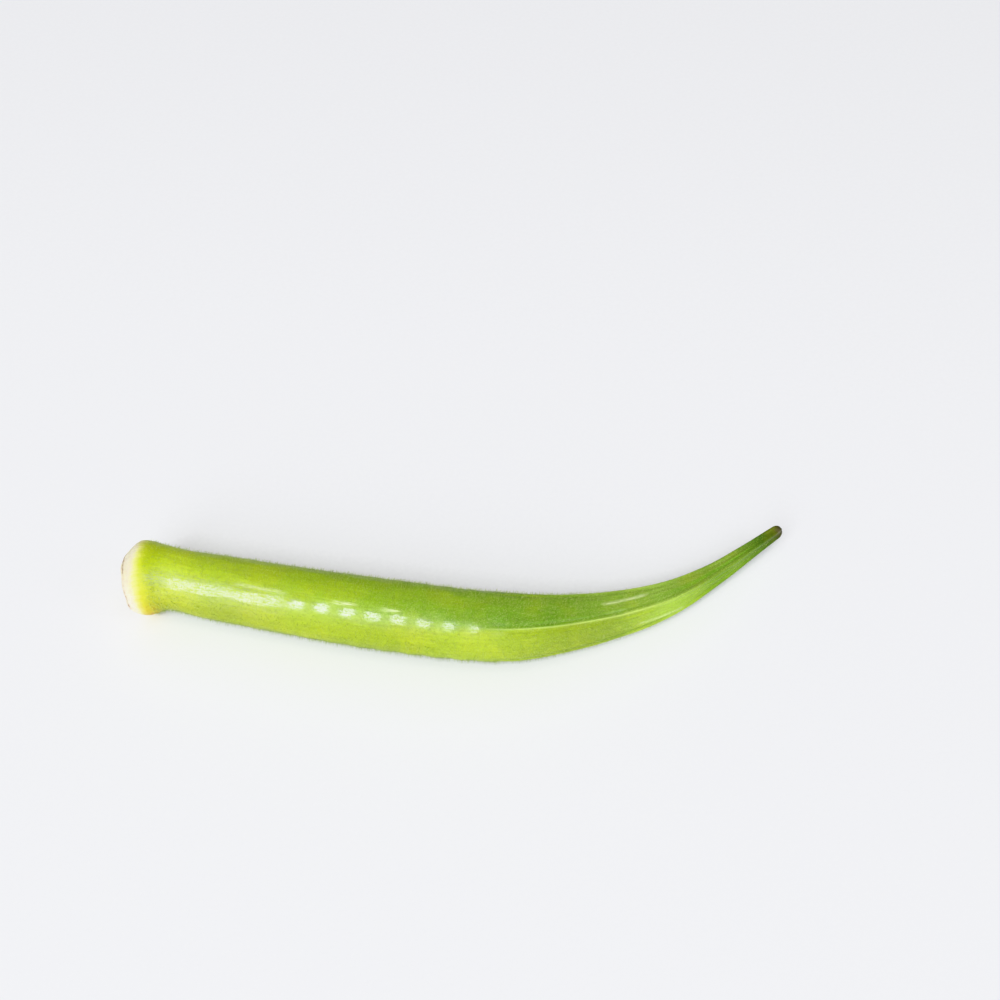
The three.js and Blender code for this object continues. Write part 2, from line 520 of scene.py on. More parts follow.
def end_marks(x, angle, ribbed):
    """Shares of the collar's blush, the cut's pale rim and the dried scar on the point."""
    from_blush, from_dry = turn_from(angle, BLUSH_DEG), turn_from(angle, DRY_DEG)
    creamy = bell(turn_from(angle, CREAM_DEG) / CREAM_SPREAD_DEG)
    return {
        "blush": bell((x - BLUSH_X) / BLUSH_LENGTH) * bell(from_blush / BLUSH_SPREAD_DEG) * ribbed,
        "cream": creamy * (1 - smoothstep(x, *CREAM_GONE)),
        "dry": bell((x - DRY_X) / DRY_LENGTH) * bell(from_dry / DRY_SPREAD_DEG),
    }


def skin_marks(rows, angle):
    """Shares of each point of the skin, for its colours and its shine."""
    x, radius, ribbed = (rows[:, i][:, None] for i in range(3))
    angle = angle[None, :]
    return {
        **side_marks(x, angle),
        **rib_marks(x, radius, angle, ribbed),
        **end_marks(x, angle, ribbed),
        "taut": taut_share(x, angle) * ribbed,
        "highlight_streak": highlight_streak_share(x, angle, radius) * ribbed,
    }


def path_lengths(rows):
    """Distance over the skin from the pith to each station."""
    steps = np.hypot(np.diff(rows[:, 0]), np.diff(rows[:, 1]))
    return np.concatenate([[0], np.cumsum(steps)])


ROWS, ANGLES = ring_grid()
POINTS = skin_points(ROWS, ANGLES)
PATH = path_lengths(ROWS)
NODE_LOW, NODE_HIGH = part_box("okra_pod")
FORM_MIDDLE = (POINTS.reshape(-1, 3).min(axis=0) + POINTS.reshape(-1, 3).max(axis=0)) / 2
SHIFT = np.array((NODE_LOW + NODE_HIGH) / 2) - FORM_MIDDLE * MM
SHIFT[2] = 0


def in_frame(points):
    """The form's millimetres as metres of the frame, pressed flat where the pod lies."""
    placed = points * MM + SHIFT
    placed[..., 2] = np.maximum(placed[..., 2], 0)
    return placed


# ---------------------------------------------------------------- shader nodes


def feed(tree, node, sockets):
    """Give each named socket of a node a value, or a link from another node's output."""
    for name, value in sockets.items():
        if isinstance(value, bpy.types.NodeSocket):
            tree.links.new(value, node.inputs[name])
        else:
            node.inputs[name].default_value = value


def add(tree, kind, settings=None, sockets=None):
    """A new node with its settings, and with its sockets fed."""
    made = tree.nodes.new(kind)
    for name, value in (settings or {}).items():
        setattr(made, name, value)
    feed(tree, made, sockets or {})
    return made


def math_node(tree, operation, a, b=0.0, c=0.0):
    made = add(tree, "ShaderNodeMath", {"operation": operation}, {0: a, 1: b, 2: c})
    return made.outputs[0]


def paint(colour):
    """An sRGB colour of 0 to 255 as linear light, opaque."""
    out = []
    for channel in colour:
        c = channel / 255
        out.append(c / 12.92 if c <= 0.04045 else ((c + 0.055) / 1.055) ** 2.4)
    return (*out, 1)


def ramp_node(tree, factor, stops):
    """A colour ramp through (place, colour) stops."""
    made = add(tree, "ShaderNodeValToRGB", None, {"Fac": factor})
    elements = made.color_ramp.elements
    for place, _ in stops[1:-1]:
        elements.new(place)
    for element, (place, colour) in zip(elements, stops):
        element.position = place
        element.color = paint(colour)
    return made.outputs["Color"]


def mix_node(tree, factor, a, b, blend="MIX"):
    settings = {"data_type": "RGBA", "blend_type": blend}
    made = add(tree, "ShaderNodeMix", settings, {0: factor, 6: a, 7: b})
    return made.outputs[2]


def tinted(tree, base, factor, colour):
    return mix_node(tree, factor, base, paint(colour))


def shaded(tree, base, value):
    """A colour made lighter or darker by a value round 1."""
    return mix_node(tree, 1.0, base, value, "MULTIPLY")


def range_node(tree, value, low, high, to_low=0.0, to_high=1.0):
    """A value from low to high, spread from one new value to another."""
    sockets = {"Value": value, 1: low, 2: high, 3: to_low, 4: to_high}
    return add(tree, "ShaderNodeMapRange", {"clamp": True}, sockets).outputs[0]


def object_noise(tree, scale, detail=2.0, roughness=0.5):
    """Noise fixed to the object, with its scale per metre."""
    place = add(tree, "ShaderNodeTexCoord").outputs["Object"]
    sockets = {"Vector": place, "Scale": scale, "Detail": detail, "Roughness": roughness}
    return add(tree, "ShaderNodeTexNoise", None, sockets).outputs["Fac"]


def pattern(tree, row):
    """A noise pattern from its row of values."""
    scale, detail, roughness, low, high, to_low, to_high = row
    noise = object_noise(tree, scale, detail, roughness)
    return range_node(tree, noise, low, high, to_low, to_high)


def relief(tree, shader, height, depth):
    """Fine relief of the surface, its depth in metres."""
    sockets = {"Height": height, "Strength": 1.0, "Distance": depth}
    bump = add(tree, "ShaderNodeBump", None, sockets)
    feed(tree, shader, {"Normal": bump.outputs["Normal"]})


def mark(tree, name, share=1.0):
    """One of the skin's marks, times a share."""
    made = add(tree, "ShaderNodeAttribute", {"attribute_name": name}).outputs["Fac"]
    return math_node(tree, "MULTIPLY", made, share)


def marked(tree, base, tints):
    """A colour with tints laid over it, each where its mark is and as strong as given."""
    for name, strength, colour in tints:
        base = tinted(tree, base, mark(tree, name, strength), colour)
    return base


def new_group(name, inputs, outputs):
    """An empty shader node group with its named sockets."""
    group = bpy.data.node_groups.new(name, "ShaderNodeTree")
    for socket, value in inputs:
        made = group.interface.new_socket(socket, in_out="INPUT", socket_type="NodeSocketFloat")
        made.default_value = value
    for socket, kind in outputs:
        group.interface.new_socket(socket, in_out="OUTPUT", socket_type=kind)
    return group, group.nodes.new("NodeGroupInput"), group.nodes.new("NodeGroupOutput")


def placed_group(tree, group, values=None):
    made = tree.nodes.new("ShaderNodeGroup")
    made.node_tree = group
    feed(tree, made, values or {})
    return made


def growth_group():
    """Place on the fruit: millimetres along the skin, and a point on a drum that has no seam."""
    outputs = (("Along", "NodeSocketFloat"), ("Drum", "NodeSocketVector"))
    group, _, end = new_group("growth", (), outputs)
    uv = add(group, "ShaderNodeUVMap", {"uv_map": "skin"}).outputs["UV"]
    split = add(group, "ShaderNodeSeparateXYZ", None, {0: uv})
    along = math_node(group, "MULTIPLY", split.outputs["Y"], MAP_LENGTH)
    seam = math.radians(SEAM_DEG)
    turn = math_node(group, "MULTIPLY_ADD", split.outputs["X"], 2 * math.pi, seam)
    round_x = math_node(group, "COSINE", turn)
    round_y = math_node(group, "SINE", turn)
    drum = add(group, "ShaderNodeCombineXYZ", None, {0: round_x, 1: round_y, 2: along})
    feed(group, end, {"Along": along, "Drum": drum.outputs[0]})
    return group


def fibres_group(growth):
    """Fine fibres along the fruit: a value round 0.5, narrow across and long along."""
    inputs = (("Across", 30.0), ("Lengthwise", 0.1), ("Detail", 2.0))
    group, start, end = new_group("fibres", inputs, (("Value", "NodeSocketFloat"),))
    drum = placed_group(group, growth).outputs["Drum"]
    across, lengthwise = start.outputs["Across"], start.outputs["Lengthwise"]
    scale = add(group, "ShaderNodeCombineXYZ", None, {0: across, 1: across, 2: lengthwise})
    sockets = {0: drum, 1: scale.outputs[0]}
    stretched = add(group, "ShaderNodeVectorMath", {"operation": "MULTIPLY"}, sockets)
    sockets = {"Vector": stretched.outputs[0], "Scale": 1.0, "Detail": start.outputs["Detail"]}
    noise = add(group, "ShaderNodeTexNoise", None, sockets)
    feed(group, end, {"Value": noise.outputs["Fac"]})
    return group


def new_material(name):
    material = bpy.data.materials.new(name)
    material.use_nodes = True
    tree = material.node_tree
    return material, tree, tree.nodes["Principled BSDF"]


# ---------------------------------------------------------------- colours and patterns

# Places along the skin, in millimetres from the pith.
SCAR_RIM = PATH[CUT_RINGS]
COLLAR = PATH[CUT_RINGS + SCAR_RINGS]
BODY_FROM = PATH[CUT_RINGS + SCAR_RINGS + NECK_RINGS] - NECK_END

# Colour of the skin along the fruit: its paler lower side, and its greener upper side, a
# difference that is partly the pod's own colour and partly painted light and shade.
LOWER_COLOURS = (
    (SCAR_RIM, (236, 232, 220)),
    (COLLAR - 1.1, (236, 232, 212)),
    (COLLAR - 0.1, (222, 218, 140)),
    (COLLAR + 1.2, (186, 184, 50)),
    (COLLAR + 4, (150, 160, 28)),
    (BODY_FROM + 17, (142, 156, 28)),
    (BODY_FROM + 28, (132, 147, 20)),
    (BODY_FROM + 44, (142, 160, 28)),
    (BODY_FROM + 66, (132, 151, 20)),
    (BODY_FROM + 82, (143, 163, 32)),
    (BODY_FROM + 105, (125, 147, 26)),
    (BODY_FROM + 116, (120, 143, 30)),
    (BODY_FROM + 132, (152, 183, 56)),
    (BODY_FROM + 139, (134, 168, 40)),
    (BODY_FROM + 145, (108, 145, 26)),
    (BODY_FROM + 151, (110, 146, 30)),
    (BODY_FROM + 158, (82, 116, 20)),
    (BODY_FROM + 162.6, (52, 78, 15)),
    (BODY_FROM + 163.8, (40, 43, 18)),
    (BODY_FROM + 164.6, (24, 19, 14)),
)
UPPER_COLOURS = (
    (SCAR_RIM, (228, 220, 202)),
    (COLLAR - 1.1, (226, 219, 192)),
    (COLLAR - 0.1, (220, 218, 138)),
    (COLLAR + 1.2, (196, 204, 62)),
    (COLLAR + 2.6, (172, 188, 28)),
    (COLLAR + 5, (164, 184, 28)),
    (COLLAR + 8, (172, 192, 48)),
    (BODY_FROM + 17, (160, 182, 44)),
    (BODY_FROM + 30, (149, 173, 40)),
    (BODY_FROM + 66, (121, 154, 37)),
    (BODY_FROM + 105, (111, 147, 43)),
    (BODY_FROM + 130, (130, 161, 63)),
    (BODY_FROM + 144, (114, 142, 50)),
    (BODY_FROM + 151, (113, 141, 48)),
    (BODY_FROM + 158, (71, 105, 22)),
    (BODY_FROM + 162.6, (50, 76, 18)),
    (BODY_FROM + 163.8, (40, 44, 20)),
    (BODY_FROM + 164.6, (24, 19, 15)),
)

# Tints over the two sides, in the order they are laid: mark, strength and colour.
SIDE_TINTS = (
    # Painted shade above the front rib.
    ("painted_shade", 0.55, (70, 118, 4)),
    # Painted shade on the underside.
    ("under", 0.9, (82, 108, 12)),
    ("stripe", 0.6, (88, 146, 6)),
    # Painted shade in the furrows beside the ribs.
    ("furrow", 0.5, (88, 124, 18)),
    # Painted highlight along the ribs' cords.
    ("cord", 0.3, (206, 222, 112)),
    # Painted highlight along the front rib's crest.
    ("crest", 0.33, (208, 228, 132)),
)
END_TINTS = (
    ("blush", 0.7, (184, 150, 10)),
    ("dry", 0.55, (124, 112, 92)),
)
SOIL_TINT = (196, 180, 156)
PATCH_TINT = (190, 190, 30)
HIGHLIGHT_STREAK_TINT = (232, 240, 190)
FLECK_TINT = (126, 88, 40)
HAIR_GLINT_TINT = (206, 224, 140)
RIM_TINT = (124, 90, 62)

# Painted highlight colour: a grey tint under the glints of the front rib, where the window's
# highlight falls.
HIGHLIGHT_TINT = (152, 162, 146)

# Noise patterns: scale per metre, detail, roughness, the noise's low and high, and the
# values that these two become.
EDGE_WANDER = (260, 3, 0.5, 0.0, 1.0, -1.0, 1.0)
RIM_BREAKS = (620, 4, 0.7, 0.42, 0.62, 0.0, 1.0)
COLLAR_SOIL = (900, 4, 0.7, 0.42, 0.66, 0.0, 0.5)
YELLOW_PATCHES = (110, 3, 0.6, 0.46, 0.66, 0.0, 0.16)
BROWN_FLECKS = (800, 2, 0.5, 0.56, 0.64, 0.0, 0.85)
MOTTLING = (1300, 4, 0.7, 0.35, 0.65, 0.9, 1.09)
HAIR_GLINT_SPECKS = (3400, 2, 0.6, 0.5, 0.72, 0.0, 0.3)
CUT_WANDER = (420, 3, 0.6, 0.25, 0.75, -0.07, 0.07)
CUT_STAINS = (330, 4, 0.6, 0.56, 0.7, 0.0, 0.55)
CUT_MOTTLING = (2400, 3, 0.7, 0.3, 0.7, 0.86, 1.08)
FLOOR_SPECKLE = (900, 3, 0.5, 0.3, 0.7, 0.0, 1.0)

# Fibre patterns: how fine they are across and along the fruit, and their detail.
FINE_FIBRES = {"Across": 20.0, "Lengthwise": 0.12, "Detail": 3.0}
BRIGHT_DASHES = {"Across": 58.0, "Lengthwise": 0.5, "Detail": 3.0}
CUT_RAYS = {"Across": 9.0, "Lengthwise": 0.5, "Detail": 3.0}

# How far the colours stray along the skin, in millimetres, less at the cut's rim, and how
# far the fibres fray them.
WANDER_GROWS = (COLLAR, COLLAR + 8)
RIM_WANDER = 0.6
COLOUR_WANDER = 1.5
FRAY_FIBRES = (0.3, 0.7)
RIM_FRAY = 0.42

# The dried line at the cut's rim, and the soiled band on the collar behind it.
RIM_LINE_OFFSET = 0.9
RIM_LINE_WIDTH = 0.75
SOIL_BAND = (COLLAR - 1.5, COLLAR + 0.5)

# The painted highlight streaks show through the dashes: none at the first value, in full from the
# second.
HIGHLIGHT_STREAK_DASHES = (0.4, 0.56)

# Streaks along the fibres: their depth, and where they start and double.
STREAK_DEPTH = 0.45
STREAK_START = (COLLAR + 2, COLLAR + 9)
STREAK_DOUBLE = (BODY_FROM + 112, BODY_FROM + 138)

# Painted glints on the hairs, as pale specks: where they start and end, and the share of them
# before the start, after the end and on the lower side.
HAIR_GLINTS_START = (BODY_FROM + 20, BODY_FROM + 75)
HAIR_GLINTS_END = (BODY_FROM + 150, BODY_FROM + 160)
HAIR_GLINTS_BEFORE = 0.1
HAIR_GLINTS_AFTER = 0.2
HAIR_GLINTS_BELOW = 0.25

# Glints: specks mixed with the dashes, then cut sharply into dull and bright.
SPECK_SCALE = 2400
SPECK_SHARE = 0.35
DASH_SHARE = 0.65
GLINT_CUT = (0.455, 0.545)
GLINT_LEAST = 0.05

DULL_ROUGHNESS = 0.5
SHINY_ROUGHNESS = 0.3
COAT_ROUGHNESS = 0.15
COAT_IOR = 2.0
SKIN_GRAIN_SCALE = 3200
SKIN_GRAIN_SHARE = 0.5
SKIN_RELIEF = 0.00003

# Light that passes a little way through the flesh.
FLESH_WEIGHT = 0.1
FLESH_RADIUS = (0.6, 1.0, 0.2)
FLESH_SCALE = 0.0015

# The cut by share of its radius: spongy pith, a fibrous ring, pale bark and its dried edge.
CUT_COLOURS = (
    (0.0, (240, 232, 212)),
    (0.5, (236, 230, 202)),
    (0.6, (204, 194, 144)),
    (0.7, (216, 206, 154)),
    (0.8, (236, 230, 202)),
    (0.93, (222, 220, 168)),
    (1.0, (118, 88, 56)),
)

# The rings stray, but less and less over this share of the radius, so the edge is steady.
CUT_EDGE_STEADY = (0.9, 1.0)

# Dark rays, strongest on the ring, and stains that grow towards the bark.
RING_SHARE = 0.66
RAY_REACH = (0.05, 0.2)
RAY_STRENGTH = (0.55, 0.12)
RAY_FIBRES = (0.5, 0.66)
RAY_TINT = (150, 132, 78)
STAIN_GROWS = (0.35, 0.9)
STAIN_TINT = (150, 116, 72)
CUT_GRAIN = (1500, 4, 0.7)
CUT_RELIEF = 0.00025
CUT_ROUGHNESS = 0.7

# Light and dark tints of the short and the long hairs, and a deeper tint low down that is
# painted shade near the floor, its heights in metres.
SHORT_DOWN_TINTS = ((230, 238, 160), (198, 218, 96))
LONG_DOWN_TINTS = ((206, 220, 140), (150, 174, 74))
DOWN_TINT_SCALE = 300
FLOOR_SHADE_HEIGHT = (0.0016, 0.0052)
FLOOR_SHADE_STRENGTH = 0.85
FLOOR_SHADE_TINT = (108, 128, 30)
DOWN_ROUGHNESS = 0.5

FLOOR_DARK = (240, 240, 243)
FLOOR_LIGHT = (244, 244, 247)
FLOOR_ROUGHNESS = 0.8


# ---------------------------------------------------------------- materials


def colour_along(tree, share, colours):
    return ramp_node(tree, share, [(at / MAP_LENGTH, colour) for at, colour in colours])


def skin_sides(tree, along, fine):
    """Colour along the fruit on its two sides, with a frayed edge at the cut's pale rim."""
    reach = range_node(tree, along, *WANDER_GROWS, RIM_WANDER, COLOUR_WANDER)
    wander = math_node(tree, "MULTIPLY", pattern(tree, EDGE_WANDER), reach)
    fray = range_node(tree, fine, *FRAY_FIBRES, -RIM_FRAY, RIM_FRAY)
    wandered = math_node(tree, "ADD", along, wander)
    wandered = math_node(tree, "ADD", wandered, fray)
    wandered = math_node(tree, "SUBTRACT", wandered, mark(tree, "cream", CREAM_REACH))
    share = math_node(tree, "DIVIDE", wandered, MAP_LENGTH)
    lower = colour_along(tree, share, LOWER_COLOURS)
    upper = colour_along(tree, share, UPPER_COLOURS)
    return mix_node(tree, mark(tree, "upper"), lower, upper)


def soiled_band(tree, along):
    """Specks of soil on the collar, behind the cut."""
    band = range_node(tree, along, *SOIL_BAND, 1.0, 0.0)
    return math_node(tree, "MULTIPLY", band, pattern(tree, COLLAR_SOIL))


def streaks(tree, along, fine):
    """Lightness round 1 of the streaks along the fibres."""
    start = range_node(tree, along, *STREAK_START)
    depth = math_node(tree, "ADD", start, range_node(tree, along, *STREAK_DOUBLE))
    off_mean = math_node(tree, "SUBTRACT", fine, 0.5)
    streak = math_node(tree, "MULTIPLY", off_mean, STREAK_DEPTH)
    return math_node(tree, "ADD", math_node(tree, "MULTIPLY", streak, depth), 1.0)


def hair_glints(tree, along):
    """Pale specks of painted glints on the hairs, fewer on the neck, the point and the lower side.
    """
    grown = range_node(tree, along, *HAIR_GLINTS_START, HAIR_GLINTS_BEFORE, 1.0)
    gone = range_node(tree, along, *HAIR_GLINTS_END, 1.0, HAIR_GLINTS_AFTER)
    over = range_node(tree, mark(tree, "upper"), 0.0, 1.0, HAIR_GLINTS_BELOW, 1.0)
    share = math_node(tree, "MULTIPLY", math_node(tree, "MULTIPLY", grown, gone), over)
    return math_node(tree, "MULTIPLY", pattern(tree, HAIR_GLINT_SPECKS), share)


def rim_line(tree, along):
    """The dried edge of the cut: a thin line, broken up along the rim."""
    off_rim = math_node(tree, "SUBTRACT", along, SCAR_RIM + RIM_LINE_OFFSET)
    off_rim = math_node(tree, "ABSOLUTE", off_rim)
    near_rim = range_node(tree, off_rim, 0.0, RIM_LINE_WIDTH, 1.0, 0.0)
    return math_node(tree, "MULTIPLY", near_rim, pattern(tree, RIM_BREAKS))


def skin_colour(tree, along, fine, dashes):
    """Colour of the skin: its two sides, the tints of its marks, and fine mottling."""
    base = skin_sides(tree, along, fine)
    base = tinted(tree, base, soiled_band(tree, along), SOIL_TINT)
    base = tinted(tree, base, pattern(tree, YELLOW_PATCHES), PATCH_TINT)
    base = marked(tree, base, SIDE_TINTS)
    # Painted highlights: pale streaks, seen through the dashes.
    highlight_streaked = range_node(tree, dashes, *HIGHLIGHT_STREAK_DASHES)
    highlight_streaked = math_node(tree, "MULTIPLY", mark(tree, "highlight_streak"), highlight_streaked)
    base = tinted(tree, base, highlight_streaked, HIGHLIGHT_STREAK_TINT)
    base = marked(tree, base, END_TINTS)
    flecked = math_node(tree, "MULTIPLY", pattern(tree, BROWN_FLECKS), mark(tree, "blush"))
    base = tinted(tree, base, flecked, FLECK_TINT)
    base = shaded(tree, base, streaks(tree, along, fine))
    base = shaded(tree, base, pattern(tree, MOTTLING))
    # Painted glints on the hairs, as pale specks.
    base = tinted(tree, base, hair_glints(tree, along), HAIR_GLINT_TINT)
    return tinted(tree, base, rim_line(tree, along), RIM_TINT)


def skin_glints(tree, dashes):
    """Shine of the skin: short bright dashes along its fibres, gathered where it is taut."""
    specks = math_node(tree, "MULTIPLY", object_noise(tree, SPECK_SCALE), SPECK_SHARE)
    both = math_node(tree, "MULTIPLY_ADD", dashes, DASH_SHARE, specks)
    shine = range_node(tree, both, *GLINT_CUT, GLINT_LEAST, 1.0)
    return math_node(tree, "MULTIPLY", shine, mark(tree, "taut"))


def skin_material(growth, fibres):
    material, tree, shader = new_material("okra_skin")
    along = placed_group(tree, growth).outputs["Along"]
    fine = placed_group(tree, fibres, FINE_FIBRES).outputs["Value"]
    dashes = placed_group(tree, fibres, BRIGHT_DASHES).outputs["Value"]
    base = skin_colour(tree, along, fine, dashes)
    glints = skin_glints(tree, dashes)
    # Painted highlight colour: a grey tint where the glints lie on the front rib.
    highlight_tinted = math_node(tree, "MULTIPLY", glints, mark(tree, "highlight_tint"))
    sockets = {
        "Base Color": tinted(tree, base, highlight_tinted, HIGHLIGHT_TINT),
        "Roughness": range_node(tree, glints, 0.0, 1.0, DULL_ROUGHNESS, SHINY_ROUGHNESS),
        "Coat Weight": glints,
        "Coat Roughness": COAT_ROUGHNESS,
        "Coat IOR": COAT_IOR,
        "Subsurface Weight": FLESH_WEIGHT,
        "Subsurface Radius": FLESH_RADIUS,
        "Subsurface Scale": FLESH_SCALE,
    }
    feed(tree, shader, sockets)
    grain = math_node(tree, "MULTIPLY", object_noise(tree, SKIN_GRAIN_SCALE), SKIN_GRAIN_SHARE)
    relief(tree, shader, math_node(tree, "ADD", fine, grain), SKIN_RELIEF)
    return material


def cut_colour(tree, share, rays):
    """Colour of the cut: its rings, with dark rays, stains and fine mottling."""
    base = ramp_node(tree, share, CUT_COLOURS)
    off_ring = math_node(tree, "ABSOLUTE", math_node(tree, "SUBTRACT", share, RING_SHARE))
    strength = range_node(tree, off_ring, *RAY_REACH, *RAY_STRENGTH)
    dark_ray = math_node(tree, "MULTIPLY", range_node(tree, rays, *RAY_FIBRES), strength)
    base = tinted(tree, base, dark_ray, RAY_TINT)
    outer = range_node(tree, share, *STAIN_GROWS)
    stained = math_node(tree, "MULTIPLY", pattern(tree, CUT_STAINS), outer)
    base = tinted(tree, base, stained, STAIN_TINT)
    return shaded(tree, base, pattern(tree, CUT_MOTTLING))


def cut_material(growth, fibres):
    material, tree, shader = new_material("cut_stem")
    along = placed_group(tree, growth).outputs["Along"]
    share = math_node(tree, "DIVIDE", along, SCAR_RIM)
    fade = range_node(tree, share, *CUT_EDGE_STEADY, 1.0, 0.0)
    wander = math_node(tree, "MULTIPLY", pattern(tree, CUT_WANDER), fade)
    share = math_node(tree, "ADD", share, wander)
    rays = placed_group(tree, fibres, CUT_RAYS).outputs["Value"]
    feed(tree, shader, {"Base Color": cut_colour(tree, share, rays), "Roughness": CUT_ROUGHNESS})
    grain = object_noise(tree, *CUT_GRAIN)
    relief(tree, shader, math_node(tree, "ADD", grain, rays), CUT_RELIEF)
    return material


def down_material(name, light, dark):
    """Hairs of a light and a darker tint, with painted shade low down near the floor."""
    material, tree, shader = new_material(name)
    tint = mix_node(tree, object_noise(tree, DOWN_TINT_SCALE), paint(light), paint(dark))
    place = add(tree, "ShaderNodeTexCoord").outputs["Object"]
    height = add(tree, "ShaderNodeSeparateXYZ", None, {0: place}).outputs["Z"]
    # Painted shade: the hairs grow darker towards the floor.
    low = range_node(tree, height, *FLOOR_SHADE_HEIGHT, FLOOR_SHADE_STRENGTH, 0.0)
    tint = tinted(tree, tint, low, FLOOR_SHADE_TINT)
    feed(tree, shader, {"Base Color": tint, "Roughness": DOWN_ROUGHNESS})
    return material


def floor_material():
    material, tree, shader = new_material("pale_floor")
    speckle = pattern(tree, FLOOR_SPECKLE)
    tint = mix_node(tree, speckle, paint(FLOOR_DARK), paint(FLOOR_LIGHT))
    feed(tree, shader, {"Base Color": tint, "Roughness": FLOOR_ROUGHNESS})
    return material


# ---------------------------------------------------------------- pieces

# Half the side of the flat grid that is wrapped round the fruit, and the gap its seam closes.
GRID_HALF = 0.5
WELD_GAP = 1e-7


def finish_mesh(bm, name, materials):
    """A smooth-shaded object made from a bmesh."""
    mesh = bpy.data.meshes.new(name)
    bm.to_mesh(mesh)
    bm.free()
    mesh.shade_smooth()
    for material in materials:
        mesh.materials.append(material)
    made = bpy.data.objects.new(name, mesh)
    bpy.context.scene.collection.objects.link(made)
    return made


def make_skin(skin, cut):
    """The pod's own surface: a flat grid wrapped round the fruit and closed at both ends."""
    bm = bmesh.new()
    layer = bm.loops.layers.uv.new("skin")
    marks = skin_marks(ROWS, ANGLES)
    layers = {name: bm.verts.layers.float.new(name) for name in marks}
    rings = len(ROWS) - 1
    bmesh.ops.create_grid(bm, x_segments=SIDES, y_segments=rings, size=GRID_HALF)
    place = in_frame(POINTS)
    around = (ANGLES - SEAM_DEG) / 360

    def cell(vert):
        station = min(round((vert.co.y + GRID_HALF) * rings), rings)
        return station, min(round((vert.co.x + GRID_HALF) * SIDES), SIDES)

    for face in bm.faces:
        middle = face.calc_center_median()
        face.material_index = 1 if (middle.y + GRID_HALF) * rings < CUT_RINGS else 0
        for loop in face.loops:
            station, side = cell(loop.vert)
            loop[layer].uv = (around[side], PATH[station] / MAP_LENGTH)
    for vert in bm.verts:
        station, side = cell(vert)
        vert.co = place[station, side]
        for name, values in marks.items():
            vert[layers[name]] = values[station, side]
    bmesh.ops.remove_doubles(bm, verts=bm.verts, dist=WELD_GAP)
    bmesh.ops.recalc_face_normals(bm, faces=bm.faces)
    made = finish_mesh(bm, "pod_skin", (skin, cut))
    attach(made, "root")
    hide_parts("okra_pod")


# Hairs: where they grow along x, the steps that their spacing is worked out in, how far they
# lean to the point and scatter, and how deep they are rooted.
HAIR_RANGE = (6, 160.5)
HAIR_SPACING_STEPS = 400
HAIR_LEAN = 0.2
HAIR_SCATTER = 0.2
HAIR_ROOT = 0.06

# Step over the skin, in millimetres or degrees, that its directions are taken over, and a
# nudge that keeps a hair's sideways direction off zero.
SKIN_STEP = 0.2
SIDE_NUDGE = 0.01

# The hairs grow shorter towards the point.
HAIR_SHORTER_X = (105, 140)
HAIR_SHORTER_BY = 0.6

# The two kinds of hair: doublings, shortest and longest length, radius at the root, seed.
SHORT_HAIRS = (15, 0.3, 0.65, 0.017, 7)
LONG_HAIRS = (14, 0.6, 1.15, 0.04, 8)


def hair_template():
    """One closed three-sided hair, a unit long and wide, with its root at the origin."""
    bm = bmesh.new()
    cone = {"segments": 3, "radius1": 1, "radius2": 0, "depth": 1, "cap_ends": True}
    bmesh.ops.create_cone(bm, **cone)
    bmesh.ops.translate(bm, verts=bm.verts, vec=(0, 0, 0.5))
    mesh = bpy.data.meshes.new("hair_template")
    bm.to_mesh(mesh)
    bm.free()
    return mesh


def on_skin(x, angle):
    return on_section(x, skin_radius(x, curve(BODY, 1, x), angle), angle)


def hair_places(rng, count):
    """Where each hair grows, as close together on the thick parts as on the thin ones."""
    x_table = np.linspace(*HAIR_RANGE, HAIR_SPACING_STEPS)
    share = np.cumsum(curve(BODY, 1, x_table))
    x = np.interp(rng.random(count) * share[-1], share, x_table)
    return x, rng.random(count) * 360


def hair_points(template, count, shortest, longest, radius, seed):
    """The template's corners for every hair, in the form's millimetres."""
    rng = np.random.default_rng(seed)
    x, angle = hair_places(rng, count)
    root = on_skin(x, angle)
    lengthwise = unit(on_skin(x + SKIN_STEP, angle) - root)
    across = unit(on_skin(x, angle + SKIN_STEP) - root)
    outward = unit(np.cross(across, lengthwise))
    outward *= np.sign(np.sum(outward * (root - centre(x)), axis=-1, keepdims=True))
    lean = lengthwise * HAIR_LEAN + rng.normal(size=(count, 3)) * HAIR_SCATTER
    aim = unit(outward + lean)
    side = unit(np.cross(aim, lengthwise + SIDE_NUDGE))
    other = np.cross(aim, side)
    shorter = 1 - HAIR_SHORTER_BY * smoothstep(x, *HAIR_SHORTER_X)
    length = rng.uniform(shortest, longest, count) * shorter
    root = root - outward * HAIR_ROOT
    return root[:, None, :] + (
        side[:, None, :] * template[None, :, 0:1] * radius
        + other[:, None, :] * template[None, :, 1:2] * radius
        + aim[:, None, :] * template[None, :, 2:3] * length[:, None, None]
    )


def make_down(name, kind, material):
    """Hairs all over the skin: one slim cone, doubled until there are enough."""
    doublings, *sizes = kind
    bm = bmesh.new()
    bm.from_mesh(hair_template())
    corners = len(bm.verts)
    for _ in range(doublings):
        bmesh.ops.duplicate(bm, geom=bm.verts[:] + bm.edges[:] + bm.faces[:])
    bm.verts.ensure_lookup_table()
    template = np.array([vert.co for vert in bm.verts[:corners]])
    place = in_frame(hair_points(template, 2 ** doublings, *sizes)).reshape(-1, 3)
    for vert, point in zip(bm.verts, place):
        vert.co = point
    bmesh.ops.recalc_face_normals(bm, faces=bm.faces)
    made = finish_mesh(bm, name, (material,))
    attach(made, "root")


# ---------------------------------------------------------------- stage

FLOOR_SIZE = 8
FLOOR_LEVEL = -0.00005

CAMERA_AIM = Vector((0.0135, 0.0369, 0))
CAMERA_TURN = math.radians(-6.1)
CAMERA_PITCH = math.radians(47)
CAMERA_DISTANCE = 0.6027
CAMERA_LENS = 82.8
CAMERA_NEAR = 0.01

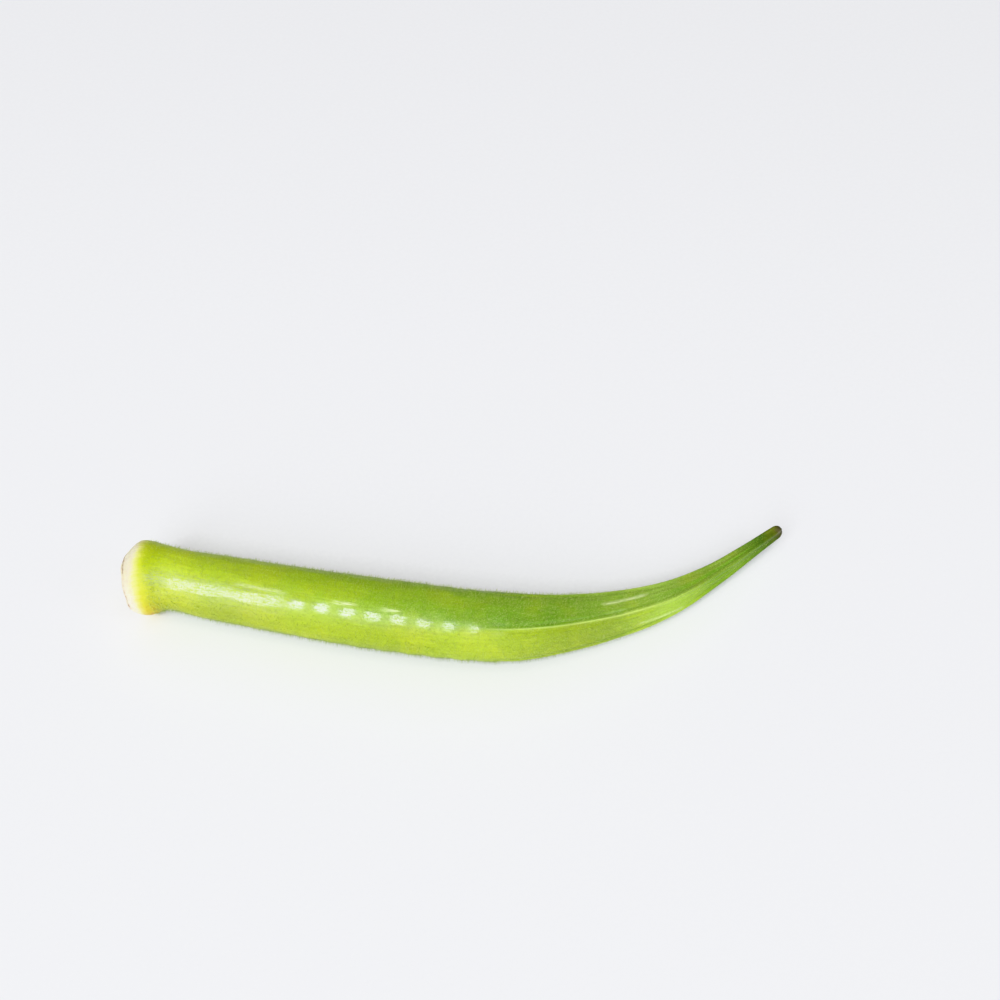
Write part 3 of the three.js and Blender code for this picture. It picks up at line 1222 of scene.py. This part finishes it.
# Two tints of daylight that together leave the floor neutral.
COOL_DAY = (0.96, 0.98, 1.0)
WARM_DAY = (1.0, 0.98, 0.94)

# Lights: name, turn and height in degrees, distance, width and height of the panel, power,
# tint, and whether it shows in the skin's shine.
LIGHTS = (
    ("front_window", -28.5, 32.5, 1.6, 0.92, 1.35, 36.5, COOL_DAY, True),
    ("right_window", 58, 34, 1.6, 0.5, 0.5, 4, COOL_DAY, True),
    ("overhead", 0, 75, 1.6, 1.6, 1.2, 8, WARM_DAY, False),
)
ROOM_WHITE = (1, 1, 1, 1)
ROOM_STRENGTH = 0.35


def make_floor(material):
    bm = bmesh.new()
    bmesh.ops.create_grid(bm, x_segments=1, y_segments=1, size=FLOOR_SIZE / 2)
    bmesh.ops.translate(bm, verts=bm.verts, vec=(0, 0, FLOOR_LEVEL))
    made = finish_mesh(bm, "floor", (material,))


def direction(turn, height):
    """A unit vector from the pod: turn from straight in front of it, height above the floor."""
    level_part = math.cos(height)
    return Vector((math.sin(turn) * level_part, -math.cos(turn) * level_part, math.sin(height)))


def make_camera():
    data = bpy.data.cameras.new("camera")
    data.lens = CAMERA_LENS
    data.clip_start = CAMERA_NEAR
    made = bpy.data.objects.new("camera", data)
    bpy.context.scene.collection.objects.link(made)
    away = direction(CAMERA_TURN, CAMERA_PITCH)
    made.location = CAMERA_AIM + away * CAMERA_DISTANCE
    made.rotation_euler = away.to_track_quat("Z", "Y").to_euler()
    bpy.context.scene.camera = made


def make_light(name, turn, height, distance, wide, tall, power, tint, shine):
    """A soft rectangular light, facing the pod. Without shine it leaves no highlight."""
    data = bpy.data.lights.new(name, "AREA")
    data.shape = "RECTANGLE"
    data.size = wide
    data.size_y = tall
    data.energy = power
    data.color = tint
    made = bpy.data.objects.new(name, data)
    bpy.context.scene.collection.objects.link(made)
    away = direction(math.radians(turn), math.radians(height))
    made.location = away * distance
    made.rotation_euler = away.to_track_quat("Z", "Y").to_euler()
    made.visible_glossy = shine


def make_room():
    """Even white light from all round."""
    world = bpy.data.worlds.new("studio")
    bpy.context.scene.world = world
    world.use_nodes = True
    background = world.node_tree.nodes["Background"]
    feed(world.node_tree, background, {"Color": ROOM_WHITE, "Strength": ROOM_STRENGTH})


make_camera()
for light in LIGHTS:
    make_light(*light)
make_room()
bpy.context.scene.view_settings.view_transform = "Khronos PBR Neutral"
GROWTH = growth_group()
FIBRES = fibres_group(GROWTH)
make_floor(floor_material())
make_skin(skin_material(GROWTH, FIBRES), cut_material(GROWTH, FIBRES))
make_down("short_down", SHORT_HAIRS, down_material("pale_down", *SHORT_DOWN_TINTS))
make_down("long_down", LONG_HAIRS, down_material("olive_down", *LONG_DOWN_TINTS))
